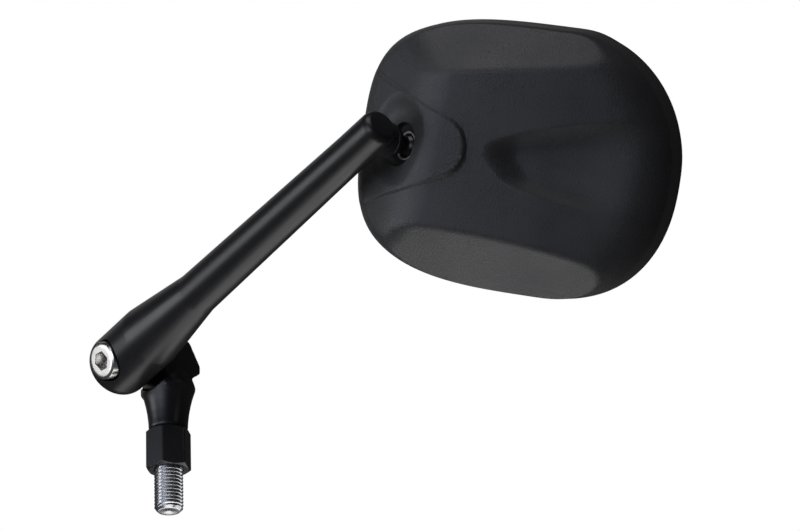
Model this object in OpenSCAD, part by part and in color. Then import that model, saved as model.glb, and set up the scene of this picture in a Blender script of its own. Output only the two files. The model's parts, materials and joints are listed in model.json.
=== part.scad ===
// Motorcycle mirror for the left handlebar perch, millimetres.
// The stud stands upright on the Z axis and the lock nut's lower face lies in the plane z = 0.

/* [Stud and lock nut] */
// Outside diameter of the stud's thread
stud_d = 10; // [8:0.5:10]
// Length of the stud below the lock nut
stud_len = 15; // [12:0.5:30]
// Width of the lock nut across its flats
nut_flats = 14; // [13:0.5:17]
// Height of the lock nut
nut_h = 14.4; // [8:0.2:18]

/* [Bracket] */
// Height of the pivot above the lock nut's lower face
pivot_height = 38; // [36:0.5:44]
// Distance of the arm's axis in front of the stud's axis
pivot_reach = 17.5; // [16.5:0.5:20]
// Downward tilt of the pivot screw
screw_tilt = 21; // [15:1:25]
// Diameter of the bracket's stem at its foot
stem_d = 13.6; // [13.2:0.2:15]

/* [Pivot] */
// Diameter of the arm's thick lower end
eye_d = 22.4; // [21.6:0.2:24]
// Nominal diameter of the pivot screw
screw_d = 8; // [6:1:8]
// Diameter of the pivot screw's head
head_d = 13; // [12.5:0.1:13.4]
// Thickness of the friction washer between arm and bracket
seat_washer_t = 1; // [0.8:0.1:1.6]
// Thickness of the plain washer under the screw head
plain_washer_t = 1.6; // [1:0.1:2]
// Thickness of the spring washer under the screw head
spring_washer_t = 2; // [1.6:0.1:2.4]

/* [Arm] */
// Length of the arm from the pivot screw to the ball stud
arm_len = 144; // [110:1:180]
// Swing of the arm above the level at rest
arm_swing = 10.5; // [0:0.5:40]
// Diameter of the tube at its lower end
tube_low_d = 15.2; // [14:0.1:16]
// Diameter of the tube at its top end
tube_top_d = 12.4; // [12:0.1:13]
// Turn of the ball stud about the arm's axis
stud_turn = -19; // [-24:1:-14]

/* [Ball joint] */
// Diameter of the ball
ball_d = 10; // [9.6:0.1:10.4]
// Distance of the ball's centre from the arm's axis
ball_reach = 17.5; // [17:0.1:18.5]
// Diameter of the neck behind the ball
neck_d = 6; // [5:0.1:6.4]
// Wall of the nylon liner round the ball
liner_t = 0.7; // [0.6:0.1:0.9]
// Running clearance on each side of the liner
run_gap = 0.05; // [0.03:0.01:0.08]
// Outside diameter of the seat ring and the rear cup
cup_d = 16.4; // [16:0.1:16.8]
// Diameter of the opening in the housing for the ball stud
opening_d = 14.3; // [13.5:0.1:14.6]

/* [Housing] */
// Distance of the ball's centre above the housing's rim plane
ball_height = 22.5; // [22:0.5:26]
// Depth of the housing over the rim plane
shell_depth = 33.5; // [33:0.5:38]
// Length of the outline from its middle to the end near the ball
outline_left = 64.5; // [62:0.5:66]
// Length of the outline from its middle to the far end
outline_right = 40.4; // [39:0.2:46]
// Height of the outline above its middle
outline_top = 43.2; // [42:0.2:48]
// Depth of the outline below its middle
outline_bottom = 44.8; // [43:0.2:50]
// Distance of the outline's middle from the ball
outline_middle = 43.4; // [42.4:0.2:44.4]
// Wall of the housing
wall = 2.4; // [2:0.1:2.8]
// Height by which the V-shaped pad stands above the housing
pad_rise = 1.1; // [0:0.1:2]
// Depth of the long hollow in the outer half
scoop_depth = 3; // [0:0.1:4]

/* [Mirror glass] */
// Thickness of the mirror glass
glass_t = 2; // [1.6:0.1:2.4]
// Radius of the convex glass
glass_radius = 1200; // [900:50:2000]
// Thickness of the foam pad behind the glass
foam_t = 1; // [0.8:0.1:1.4]
// Thickness of the glass carrier
carrier_t = 1.8; // [1.4:0.1:2]
// Gap between the glass and the housing's inner wall
glass_gap = 0.8; // [0.6:0.1:1.2]

/* [Hidden] */
$fn = 64;

black = [0.06, 0.06, 0.065];
steel = [0.75, 0.75, 0.76];
brass = [0.78, 0.62, 0.3];
nylon = [0.85, 0.84, 0.8];

// Angles of the housing against the arm at rest: turns about x, y and z in that order.
head_aim = [123, 22, 45];

eye_r = eye_d / 2;
seat_y = 8;
counterbore_d = head_d + 1.5;
head_h = 8;
head_face = eye_r + 0.8;
shank_clear = 0.05;
stud_shank_r = stud_d / 2 - 0.3;
screw_grip = 9;
boss_face = seat_y + seat_washer_t;
boss_t = 5;
block_half = 7.5;
cone_start = 15;
cone_end = 44;
dome_r = 7;
cross_boss = 7.6;
arm_end = 6.8;
end_round = 3.2;

ball_r = ball_d / 2;
liner_in = ball_r + run_gap;
liner_out = liner_in + liner_t;
cup_in = liner_out + run_gap;
cup_r = cup_d / 2;
cup_split = 0.2;
seat_top = 3.3;
lip_top = seat_top + 0.7;
face_top = lip_top + 1.5;
spring_top = -(cup_in + 1.4);
spring_t = 0.5;
plate_top = spring_top - 2.2;
plate_t = 1.5;
tube_r = cup_r + 2.1;
tube_low = plate_top;
post_r = 3.2;
post_at = cup_r + 3.9;
post_angles = [72, 192, 312];
insert_r = 2.2;

rim_rows = 26;
around = 88;
// Bulge of the outline's four corners: upper near and far, lower near and far.
corner_power = [3.36, 2.01, 3.16, 2.34];
outline_lean = 0.032;
outline_slope = -0.033;
pad_spread = 0.42;
pad_r = 10.9;
pad_x = 9.1;
glass_z = 1.5;
glass_mid = outline_middle - (outline_left - outline_right) / 2;
foam_z = glass_z + glass_t;
carrier_z = foam_z + foam_t;
glass_inset = wall + glass_gap;
carrier_posts = [
    for (side = [1, -1]) for (p = [[22.5, 22], [-17.5, 30]]) [outline_middle + p.x, side * p.y]
];
carrier_post_r = 3;

// Rotation matrix of turns about x, y and z, as rotate() applies them.
function turn(a) =
    let (cx = cos(a.x), sx = sin(a.x), cy = cos(a.y), sy = sin(a.y), cz = cos(a.z), sz = sin(a.z))
    [
        [cz * cy, cz * sy * sx - sz * cx, cz * sy * cx + sz * sx],
        [sz * cy, sz * sy * sx + cz * cx, sz * sy * cx - cz * sx],
        [-sy, cy * sx, cy * cx]
    ];
// The ball stud's axis as the housing sees it, pointing out towards the arm.
socket_axis = [0, -1, 0] * turn(head_aim);

// Frame of the pivot: its -Y axis is the pivot screw, pointing outwards.
module at_pivot() {
    translate([0, -pivot_reach, pivot_height])
        rotate([screw_tilt, 0, 0])
            children();
}
// Frame of the arm: X runs along the tube from the pivot.
module at_arm() {
    at_pivot()
        rotate([0, -arm_swing, 0])
            children();
}
// Frame of the ball stud at the arm's axis: Z points away from the housing.
module at_stud_foot() {
    at_arm()
        translate([arm_len, 0, 0])
            rotate([stud_turn, 0, 0])
                children();
}
// Frame of the ball: the origin is its centre and Z points out along the neck.
module at_ball() {
    at_stud_foot()
        translate([0, ball_reach, 0])
            rotate([90, 0, 0])
                children();
}
// Frame of the housing: the rim plane is z = 0 and the ball stands above the origin.
module at_head() {
    at_stud_foot()
        translate([0, ball_reach, 0])
            rotate(head_aim)
                translate([0, 0, -ball_height])
                    children();
}

// Plain ring about Z.
module ring(r_in, r_out, h) {
    difference() {
        cylinder(r = r_out, h = h);
        translate([0, 0, -1])
            cylinder(r = r_in, h = h + 2);
    }
}

// Steel stud: threaded part below, slimmer shank through the lock nut and into the bracket's stem above.
module threaded_stud() {
    color(steel)
        translate([0, 0, -stud_len])
            rotate_extrude()
                polygon([
                    [0, 0], [stud_d / 2 - 1.2, 0], [stud_d / 2, 1.2],
                    [stud_d / 2, stud_len - 0.1], [stud_shank_r, stud_len - 0.1],
                    [stud_shank_r, stud_len + nut_h + 10], [stud_shank_r - 1, stud_len + nut_h + 11],
                    [0, stud_len + nut_h + 11]
                ]);
}

// Long hexagon nut with both ends chamfered at 30 degrees.
module lock_nut() {
    corner = nut_flats / 2 / cos(30);
    bevel = corner - nut_flats / 2 + 0.15;
    rise = bevel * tan(30);
    color(black)
        difference() {
            intersection() {
                rotate([0, 0, 7])
                    cylinder(r = corner, h = nut_h, $fn = 6);
                rotate_extrude()
                    polygon([
                        [0, 0], [corner - bevel, 0], [corner, rise],
                        [corner, nut_h - rise], [corner - bevel, nut_h], [0, nut_h]
                    ]);
            }
            translate([0, 0, -1])
                cylinder(r = stud_shank_r + shank_clear, h = nut_h + 2);
        }
}

// Side profile of the bracket's block in the plane of the stud and the pivot screw.
module block_profile() {
    hull() {
        translate([2.2, pivot_height + 6.4])
            circle(r = 2.6);
        translate([6.6, pivot_height - 0.3])
            circle(r = 2);
        translate([7.1, pivot_height - 1.6])
            circle(r = 1.5);
        translate([-4.5, pivot_height - 8.7])
            circle(r = 2);
        translate([-4, pivot_height + 6])
            circle(r = 2.6);
    }
}

// Cast bracket: stem that flares upwards, block behind the pivot and round seat for the arm.
module base_bracket() {
    flare_top = pivot_height - nut_h - 8;
    flare = 2.8;
    seat_r = eye_r - 2.8;
    color(black)
        difference() {
            union() {
                translate([0, 0, nut_h])
                    rotate_extrude()
                        polygon(concat(
                            [[0, 0.1], [stem_d / 2 - 0.6, 0.1], [stem_d / 2, 0.7]],
                            [for (i = [1:5]) [stem_d / 2 + flare * pow(i / 5, 2), flare_top * i / 5]],
                            [
                                [stem_d / 2 + flare - 0.6, flare_top + 2], [block_half, flare_top + 6],
                                [0, flare_top + 8]
                            ]
                        ));
                rotate([90, 0, 90])
                    translate([0, 0, -block_half])
                        linear_extrude(2 * block_half)
                            block_profile();
                at_pivot()
                    translate([0, boss_face, 0])
                        rotate([-90, 0, 0])
                            rotate_extrude()
                                polygon([
                                    [0, 0], [seat_r - 0.6, 0], [seat_r, 0.6],
                                    [seat_r, boss_t], [block_half, boss_t + 4], [0, boss_t + 6]
                                ]);
            }
            at_pivot()
                translate([0, boss_face, 0])
                    rotate([90, 0, 0])
                        cylinder(r = eye_r + 1.4, h = 30);
            at_pivot()
                translate([0, boss_face - 1, 0])
                    rotate([-90, 0, 0])
                        cylinder(d = screw_d + 2 * shank_clear, h = screw_grip + 1.8);
            translate([0, 0, nut_h - 1])
                cylinder(r = stud_shank_r, h = 12);
        }
}

// Thin friction washer between the arm's flat and the bracket's seat.
module friction_washer() {
    color(steel)
        at_pivot()
            translate([0, seat_y, 0])
                rotate([-90, 0, 0])
                    ring(screw_d / 2 + 0.2, eye_r - 3.4, seat_washer_t);
}

// Stainless socket head screw, seen on its head in the arm's counterbore.
module pivot_screw() {
    socket_af = 6;
    screw_end = head_face + boss_face + screw_grip;
    color(steel)
        at_pivot()
            rotate([-90, 0, 0])
                translate([0, 0, -head_face])
                    difference() {
                        rotate_extrude()
                            polygon([
                                [0, 0], [head_d / 2 - 0.9, 0], [head_d / 2, 0.9],
                                [head_d / 2, head_h], [screw_d / 2, head_h],
                                [screw_d / 2, screw_end - 1], [screw_d / 2 - 1, screw_end], [0, screw_end]
                            ]);
                        translate([0, 0, -1])
                            cylinder(d = socket_af / cos(30), h = 5, $fn = 6);
                    }
}

// Split spring washer that keeps the pivot under load.
module spring_washer() {
    color(steel)
        at_pivot()
            translate([0, -head_face + head_h, 0])
                rotate([-90, 0, 0])
                    difference() {
                        ring(screw_d / 2 + 0.2, head_d / 2 - 0.2, spring_washer_t);
                        rotate([0, 30, 0])
                            translate([0, -0.4, -5])
                                cube([20, 0.8, 20]);
                    }
}

// Plain washer on the floor of the counterbore.
module plain_washer() {
    color(steel)
        at_pivot()
            translate([0, -head_face + head_h + spring_washer_t, 0])
                rotate([-90, 0, 0])
                    ring(screw_d / 2 + 0.2, head_d / 2 + 0.3, plain_washer_t);
}

// Lengthwise half profile of the arm, turned about its X axis.
module arm_profile() {
    top_r = tube_top_d / 2;
    low_r = tube_low_d / 2;
    steps = 8;
    nose = [for (i = [0:steps]) let (t = 90 * i / steps)
        [arm_len + arm_end - end_round * (1 - sin(t)), top_r - end_round * (1 - cos(t))]];
    polygon(concat(
        [[-(eye_r + 0.6), 0]],
        [for (i = [0:steps]) let (t = 90 * i / steps)
            [-(eye_r + 0.6) + dome_r * (1 - cos(t)), eye_r - dome_r * (1 - sin(t))]],
        [[cone_start, eye_r], [cone_end, low_r], [arm_len - 10, top_r]],
        nose,
        [[arm_len + arm_end, 0]]
    ));
}

// Turned arm: domed eye with its counterbore, cone, tapering tube and cross boss for the ball stud.
module arm() {
    floor_y = -head_face + head_h + spring_washer_t + plain_washer_t;
    boss_r = tube_top_d / 2 - 0.25;
    color(black)
        difference() {
            union() {
                at_arm()
                    rotate([0, 90, 0])
                        rotate_extrude()
                            rotate([0, 0, 90])
                                mirror([0, 1, 0])
                                    arm_profile();
                at_stud_foot()
                    rotate([-90, 0, 0])
                        rotate_extrude()
                            polygon([
                                [0, 0], [boss_r, 0], [boss_r, cross_boss - 0.8],
                                [boss_r - 0.8, cross_boss], [0, cross_boss]
                            ]);
            }
            at_pivot()
                translate([0, seat_y, 0])
                    rotate([-90, 0, 0])
                        cylinder(r = eye_r + 0.6, h = 20);
            at_pivot()
                rotate([-90, 0, 0])
                    translate([0, 0, -30])
                        cylinder(d = screw_d + 2 * shank_clear, h = 60);
            at_pivot()
                translate([0, floor_y, 0])
                    rotate([90, 0, 0])
                        cylinder(d = counterbore_d, h = 30);
            at_stud_foot()
                translate([0, -2, 0])
                    rotate([-90, 0, 0])
                        cylinder(d = neck_d, h = 20);
        }
}

// Ball stud: threaded shank in the arm, collar, neck and ball.
module ball_stud() {
    shank = ball_reach + 1.5;
    collar_low = ball_reach - cross_boss - 2.7;
    color(steel)
        at_ball()
            union() {
                sphere(r = ball_r);
                cylinder(d = neck_d, h = shank);
                translate([0, 0, collar_low])
                    cylinder(d = 9, h = 2);
            }
}

// Small washer between the ball stud's collar and the arm's cross boss.
module stud_washer() {
    color(steel)
        at_ball()
            translate([0, 0, ball_reach - cross_boss - 0.7])
                ring(neck_d / 2 + 0.1, 4.9, 0.7);
}

// Nylon liner: a spherical shell open at the neck and at the bottom.
module ball_liner() {
    color(nylon)
        at_ball()
            difference() {
                sphere(r = liner_out);
                sphere(r = liner_in);
                translate([0, 0, liner_out * cos(60)])
                    cylinder(r = 9, h = 9);
                translate([0, 0, -liner_out * cos(35) - 9])
                    cylinder(r = 9, h = 9);
            }
}

// Front seat ring that holds the ball inside the opening of the housing.
module seat_ring() {
    color(nylon)
        at_ball()
            difference() {
                translate([0, 0, cup_split])
                    cylinder(r = cup_r - run_gap, h = seat_top - run_gap - cup_split);
                sphere(r = cup_in);
            }
}

// Rear cup pushed against the ball by the disc springs.
module rear_cup() {
    color(nylon)
        at_ball()
            difference() {
                union() {
                    translate([0, 0, spring_top])
                        cylinder(r = cup_r - run_gap, h = -spring_top - cup_split);
                    translate([0, 0, spring_top - 2])
                        cylinder(r = 3.1, h = 3);
                }
                sphere(r = cup_in);
            }
}

// Two disc springs back to back between the rear cup and the clamp plate.
module disc_springs() {
    tall = 1.05;
    color(steel)
        at_ball()
            translate([0, 0, spring_top])
                for (side = [0, 1])
                    translate([0, 0, -side * 2.16])
                        mirror([0, 0, side])
                            rotate_extrude()
                                translate([0, -tall])
                                    polygon([
                                        [3.3, tall], [3.3, tall - spring_t],
                                        [cup_r - 0.6, 0], [cup_r - 0.6, spring_t]
                                    ]);
}

// Steel plate over the springs with three ears for its screws.
module clamp_plate() {
    color(steel)
        at_ball()
            translate([0, 0, plate_top - plate_t])
                difference() {
                    union() {
                        cylinder(r = cup_r + 1, h = plate_t);
                        for (a = post_angles)
                            rotate([0, 0, a])
                                translate([post_at, 0, 0])
                                    cylinder(r = post_r, h = plate_t);
                    }
                    translate([0, 0, -1])
                        cylinder(r = 2.5, h = 4);
                    for (a = post_angles)
                        rotate([0, 0, a])
                            translate([post_at, 0, -1])
                                cylinder(r = 1.7, h = 4);
                }
}

// Three pan head screws that hold the clamp plate.
module clamp_screws() {
    color(steel)
        at_ball()
            for (a = post_angles)
                rotate([0, 0, a])
                    translate([post_at, 0, plate_top - plate_t])
                        rotate([180, 0, 0])
                            difference() {
                                union() {
                                    cylinder(r = 2.7, h = 1.6);
                                    translate([0, 0, -6.5])
                                        cylinder(r = 1.5, h = 7);
                                }
                                translate([0, 0, 0.7])
                                    cube([3, 0.7, 3], center = true);
                                translate([0, 0, 2])
                                    cube([3, 0.7, 2.4], center = true);
                                translate([0, 0, 2])
                                    cube([0.7, 3, 2.4], center = true);
                            }
}

// Die-cast socket moulded into the housing: its bore holds the seat ring and the rear cup behind a lip.
module socket_body() {
    post_h = 6;
    color(black)
        at_ball()
            difference() {
                union() {
                    translate([0, 0, tube_low])
                        cylinder(r = tube_r, h = lip_top - tube_low);
                    for (a = post_angles)
                        rotate([0, 0, a])
                            translate([post_at, 0, tube_low])
                                cylinder(r = post_r, h = post_h);
                }
                translate([0, 0, tube_low - 1])
                    cylinder(r = cup_r, h = seat_top - tube_low + 1);
                cylinder(d = opening_d, h = lip_top + 1);
                for (a = post_angles)
                    rotate([0, 0, a])
                        translate([post_at, 0, tube_low - 1])
                            cylinder(r = insert_r, h = post_h);
            }
}

// Three threaded brass inserts in the socket's posts for the clamp screws.
module boss_inserts() {
    color(brass)
        at_ball()
            for (a = post_angles)
                rotate([0, 0, a])
                    translate([post_at, 0, plate_top])
                        ring(1.5 + shank_clear, insert_r, 5);
}

// Smooth step from 0 at a to 1 at b.
function ease(a, b, v) =
    let (t = max(0, min(1, (v - a) / (b - a))))
    t * t * (3 - 2 * t);

// Distance from the outline's middle to the rim in direction a, before the outline is skewed.
function rim_r(a) =
    let (
        near = ease(-0.35, 0.35, -cos(a)),
        upper = ease(-0.35, 0.35, sin(a)),
        top = near * corner_power[0] + (1 - near) * corner_power[1],
        low = near * corner_power[2] + (1 - near) * corner_power[3],
        power = upper * top + (1 - upper) * low,
        side = cos(a) < 0 ? outline_left : outline_right,
        half = sin(a) > 0 ? outline_top : outline_bottom
    )
    pow(pow(abs(cos(a)) / side, power) + pow(abs(sin(a)) / half, power), -1 / power);

// Point of the rim in direction a, skewed: it leans along x and slopes along y.
function rim_point(a) =
    let (u = rim_r(a) * cos(a), v = rim_r(a) * sin(a), even = 1 - outline_lean * outline_slope)
    [outline_middle + (u + outline_lean * v) / even, (outline_slope * u + v) / even];

// Point of the rim in direction a moved straight inwards by inset.
function inset_point(a, inset) =
    let (along = rim_point(a + 0.5) - rim_point(a - 0.5))
    rim_point(a) - inset * [along.y, -along.x] / norm(along);

// Share of the way from the outline's middle to the rim at a point.
function share_at(x, y) =
    let (u = x - outline_middle - outline_lean * y, v = y - outline_slope * (x - outline_middle))
    norm([u, v]) / rim_r(atan2(v, u));

// Lower of two heights, blended over a width k.
function soft_min(p, q, k) =
    let (h = max(0, k - abs(p - q)) / k)
    min(p, q) - h * h * k / 4;

// Height of the crest line over the rim plane at distance x from the ball.
function crest(x) = shell_depth - 10 * ease(0, 110, x - 8) - 2 * ease(40, 90, x);

// Height of the steep side wall at x: low at the ball's end, high at the far end.
function wall_top(x) = 6 + 8 * ease(-10, 80, x);

// Half-width between the two side facets at x.
function facet_edge(x) =
    x < 10 ? 24.5 + 0.029 * (x - 10) * (x - 10) : 24.5 + 9 * pow(max(0, x - 18) / 52, 2);

// Half-width of the long hollow at x.
function scoop_half(x) = 2 + 17 * pow(max(0, x - 26) / 42, 0.72);

// How far inside the V-shaped pad's edge a point lies: straight sides that end in a round nose.
function pad_inside(x, y) = x - pad_x < pad_spread * abs(y)
    ? pad_r + (pad_spread * (pad_x - x) - abs(y)) / norm([1, pad_spread])
    : pad_r - norm([x - pad_x, y]);

// Outer surface of the housing over the rim plane, for a point at share s of the way to the rim.
function shell_z(x, y, s, draft = 0.028) =
    let (
        wall_part = wall_top(x) * ease(1, 1 - draft, s),
        power = 6 + 2 * ease(30, 55, x),
        dome = (crest(x) - wall_top(x)) * pow(max(0, 1 - pow(s, power)), 0.8),
        body = wall_part + dome,
        facet = crest(x) - 2.6 - 0.8 * (abs(y) - facet_edge(x)),
        faceted = soft_min(body, facet, 1.2),
        hollow = scoop_depth * ease(26, 40, x) * (1 - ease(66, 84, x))
            * pow(max(0, 1 - pow(y / scoop_half(x), 2)), 0.8),
        pad = pad_rise * ease(-0.2, 1.6, pad_inside(x, y)) * ease(1, 0.93, s),
        formed = faceted - hollow + pad,
        floor_z = ball_height + (face_top - socket_axis.x * x - socket_axis.y * y) / socket_axis.z,
        off = norm([(x - socket_axis.x * face_top) / socket_axis.z, y - socket_axis.y * face_top]),
        crater = floor_z + 0.06 * pow(max(0, off - 9), 2)
    )
    soft_min(formed, crater, 1.6) * ease(1.0001, 1 - draft / 2, s);

// Share of the way from the middle to the rim at row i of n, close together near the rim.
function row_share(i, n) = sin(90 * pow(i / n, 0.86));

// One ring of points at share s: the outer surface for inset 0, the inner one for the wall as inset.
function ring_points(s, inset, draft) = [
    for (j = [0:around - 1])
        let (
            a = 360 * j / around,
            middle = [outline_middle, 0],
            outer = middle + s * (rim_point(a) - middle),
            here = middle + s * (inset_point(a, inset) - middle),
            z = shell_z(outer.x, outer.y, s, draft)
        )
        [here.x, here.y, z - inset * min(1, z / 4)]
];

// Moulded shell: outer rows from the middle to the rim, then inner rows back to the middle.
module shell() {
    inner_rows = 18;
    shares_out = [for (i = [1:rim_rows]) row_share(i, rim_rows)];
    shares_in = [for (i = [inner_rows:-1:1]) row_share(i, inner_rows)];
    rings = concat(
        [for (s = shares_out) ring_points(s, 0, 0.028)],
        [for (s = shares_in) ring_points(s, wall, 0.005)]
    );
    rows = len(rings);
    top = [outline_middle, 0, shell_z(outline_middle, 0, 0)];
    points = concat([top], [for (r = rings) each r], [top - [0, 0, wall]]);
    last = len(points) - 1;
    faces = concat(
        [for (j = [0:around - 1]) [0, 1 + (j + 1) % around, 1 + j]],
        [for (i = [0:rows - 2]) for (j = [0:around - 1])
            [1 + i * around + j, 1 + i * around + (j + 1) % around, 1 + (i + 1) * around + j]],
        [for (i = [0:rows - 2]) for (j = [0:around - 1])
            [1 + i * around + (j + 1) % around, 1 + (i + 1) * around + (j + 1) % around,
                1 + (i + 1) * around + j]],
        [for (j = [0:around - 1])
            [1 + (rows - 1) * around + j, 1 + (rows - 1) * around + (j + 1) % around, last]]
    );
    polyhedron(points = points, faces = faces, convexity = 8);
}

// Post for a carrier screw, from the carrier's back to the shell's inner side.
module carrier_post(p) {
    foot = carrier_z + carrier_t + sag(p.x, p.y) + 0.1;
    out = p.y > 0 ? 1 : -1;
    roof = shell_z(p.x + 1, p.y + out * carrier_post_r, share_at(p.x + 1, p.y + out * carrier_post_r));
    translate([p.x, p.y, foot])
        difference() {
            cylinder(r = carrier_post_r, h = roof - wall / 2 - foot, $fn = 12);
            translate([0, 0, -1])
                cylinder(r = 1.1, h = 8);
        }
}

// Prism with many flat sides that just holds a circle of radius r, for the openings in the shell.
module flat_round(r, h) {
    sides = 48;
    linear_extrude(h)
        polygon([for (i = [0:sides - 1])
            r / cos(180 / sides) * [cos(360 * i / sides), sin(360 * i / sides)]]);
}

// Moulded housing with its carrier posts, the opening for the ball stud and the socket's recess behind it.
module housing() {
    recess_low = -4;
    color(black) {
        difference() {
            at_head()
                shell();
            at_ball()
                translate([0, 0, recess_low])
                    flat_round(tube_r + 0.05, lip_top - recess_low);
            at_ball()
                flat_round(opening_d / 2, 20);
        }
        at_head()
            for (p = carrier_posts)
                carrier_post(p);
    }
}

// Outline of the housing moved inwards by inset.
module outline(inset) {
    polygon([for (j = [0:around - 1]) inset_point(360 * j / around, inset)]);
}

// Rise of the curved glass at a point, against its middle.
function sag(x, y) = (pow(x - glass_mid, 2) + y * y) / 2 / glass_radius;

// Sheet with the outline of the glass, curved to the glass radius, its front lowest in the middle.
module curved_sheet(inset, z, t) {
    reach = 70;
    steps = 7;
    front = [for (i = [0:steps]) let (r = reach * i / steps) [r, z + r * r / 2 / glass_radius]];
    back = [for (i = [steps:-1:0]) let (r = reach * i / steps) [r, z + t + r * r / 2 / glass_radius]];
    intersection() {
        linear_extrude(z + t + 10)
            outline(inset);
        translate([glass_mid, 0, 0])
            rotate_extrude($fn = 96)
                polygon(concat(front, back));
    }
}

// Convex mirror glass.
module mirror_glass() {
    color([0.7, 0.75, 0.8])
        at_head()
            curved_sheet(glass_inset + 0.3, glass_z, glass_t);
}

// Double-sided foam pad that holds the glass to its carrier.
module foam_pad() {
    color([0.2, 0.2, 0.2])
        at_head()
            curved_sheet(glass_inset + 4, foam_z, foam_t);
}

// Moulded carrier plate that closes the housing and backs the glass.
module glass_carrier() {
    color([0.1, 0.1, 0.1])
        at_head()
            difference() {
                curved_sheet(glass_inset + 0.2, carrier_z, carrier_t);
                for (p = carrier_posts)
                    translate([p.x, p.y, carrier_z + sag(p.x, p.y) + 0.1])
                        rotate_extrude()
                            polygon([
                                [0, -2], [2.8, -2], [2.8, 0.65], [1.25, 1.6], [1.25, 5], [0, 5]
                            ]);
            }
}

// Four countersunk self-tapping screws under the foam pad.
module carrier_screws() {
    color(steel)
        at_head()
            for (p = carrier_posts)
                translate([p.x, p.y, carrier_z + sag(p.x, p.y) + 0.1])
                    rotate_extrude()
                        polygon([[0, 0], [2.6, 0], [2.6, 0.55], [1.05, 1.4], [1.05, 8], [0, 8]]);
}

// Soft edging ring that seats the glass in the housing.
module glass_gasket() {
    lip_z = glass_z - 0.9;
    gasket_gap = 0.5;
    color([0.05, 0.05, 0.05])
        at_head()
            union() {
                translate([0, 0, lip_z])
                    linear_extrude(glass_t + 1)
                        difference() {
                            outline(wall + gasket_gap);
                            outline(glass_inset);
                        }
                translate([0, 0, lip_z])
                    linear_extrude(0.6)
                        difference() {
                            outline(wall + gasket_gap);
                            outline(glass_inset + 1.4);
                        }
            }
}

threaded_stud();
lock_nut();
base_bracket();
friction_washer();
pivot_screw();
spring_washer();
plain_washer();
arm();
ball_stud();
stud_washer();
ball_liner();
seat_ring();
rear_cup();
disc_springs();
clamp_plate();
clamp_screws();
boss_inserts();
socket_body();
housing();
glass_carrier();
carrier_screws();
foam_pad();
mirror_glass();
glass_gasket();
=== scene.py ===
import json

import bmesh
import bpy
import numpy as np
from mathutils import Matrix, Vector


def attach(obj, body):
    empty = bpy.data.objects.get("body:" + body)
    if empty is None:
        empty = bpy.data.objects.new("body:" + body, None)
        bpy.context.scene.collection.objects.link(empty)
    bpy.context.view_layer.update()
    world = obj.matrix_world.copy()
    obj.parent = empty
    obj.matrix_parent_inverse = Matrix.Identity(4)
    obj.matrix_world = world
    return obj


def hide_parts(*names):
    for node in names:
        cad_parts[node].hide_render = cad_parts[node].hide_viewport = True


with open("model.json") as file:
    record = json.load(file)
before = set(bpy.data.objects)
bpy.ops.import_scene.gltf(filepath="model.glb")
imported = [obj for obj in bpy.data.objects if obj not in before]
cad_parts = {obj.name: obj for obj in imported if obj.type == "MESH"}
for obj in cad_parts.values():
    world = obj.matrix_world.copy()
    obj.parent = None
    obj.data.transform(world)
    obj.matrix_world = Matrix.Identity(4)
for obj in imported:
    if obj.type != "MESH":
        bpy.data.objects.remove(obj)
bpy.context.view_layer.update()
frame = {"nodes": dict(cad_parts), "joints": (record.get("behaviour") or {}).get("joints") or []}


# Threaded stud. Zinc plated steel rod, rolled with an M10 x 1.25 thread and chamfered at its
# end. Above the thread a slimmer shank runs through the lock nut into the bracket's stem.
# Sizes are millimetres in every section, and only a finished mesh is turned into metres.
MM = 0.001
stud_radius = 5.0
stud_low = -15.0
stud_chamfer = 1.1
stud_top = 25.4
# The dimple in the stud's end, as (radius, height above the end).
end_dimple = [(0.6, 0.25), (1.2, 0.05), (3.4, 0.0)]
thread_pitch = 1.25
thread_depth = 0.68
thread_top = -0.1
crest_half_share, flank_share = 0.06, 0.38
runout_height, shank_start = 0.05, 0.3
shank_radius = 4.7
shank_chamfer = 1.0


def skin(name, points, smooth_under=35.0, bored=False):
    """Closed mesh from rows of rings in millimetres, with quads between neighbours. On a bored
    piece the last ring joins the first, and otherwise each of the two is closed by a fan to its
    mean point. The faces are turned outwards."""
    rows, columns, _ = points.shape
    corners = points.reshape(-1, 3)
    across = np.arange(columns)
    after = np.roll(across, -1)
    row = (np.arange(rows if bored else rows - 1) * columns)[:, None]
    next_row = (row + columns) % (rows * columns)
    quads = np.stack([row + across, row + after, next_row + after, next_row + across], axis=-1)
    quads = quads.reshape(-1, 4)
    fans = np.empty((0, 3), int)
    if not bored:
        corners = np.vstack([corners, points[0].mean(axis=0), points[-1].mean(axis=0)])
        middle = np.full(columns, rows * columns)
        last = (rows - 1) * columns
        head = np.stack([middle, after, across], axis=-1)
        foot = np.stack([middle + 1, last + across, last + after], axis=-1)
        fans = np.vstack([head, foot])
    triangles = np.vstack([quads[:, [0, 1, 2]], quads[:, [0, 2, 3]], fans])
    a, b, c = (corners[triangles[:, k]] for k in range(3))
    if np.einsum("ij,ij->i", a, np.cross(b, c)).sum() < 0:
        quads, fans = quads[:, ::-1], fans[:, ::-1]
    mesh = bpy.data.meshes.new(name)
    mesh.vertices.add(len(corners))
    mesh.vertices.foreach_set("co", (corners * MM).astype(np.float32).ravel())
    mesh.loops.add(quads.size + fans.size)
    mesh.loops.foreach_set("vertex_index", np.concatenate([quads.ravel(), fans.ravel()]).astype(np.int32))
    mesh.polygons.add(len(quads) + len(fans))
    starts = np.concatenate([np.arange(len(quads)) * 4, quads.size + np.arange(len(fans)) * 3])
    mesh.polygons.foreach_set("loop_start", starts.astype(np.int32))
    mesh.update(calc_edges=True)
    mesh.validate()
    mesh.shade_smooth()
    mesh.set_sharp_from_angle(angle=np.radians(smooth_under))
    piece = bpy.data.objects.new(name, mesh)
    bpy.context.scene.collection.objects.link(piece)
    return piece


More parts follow.
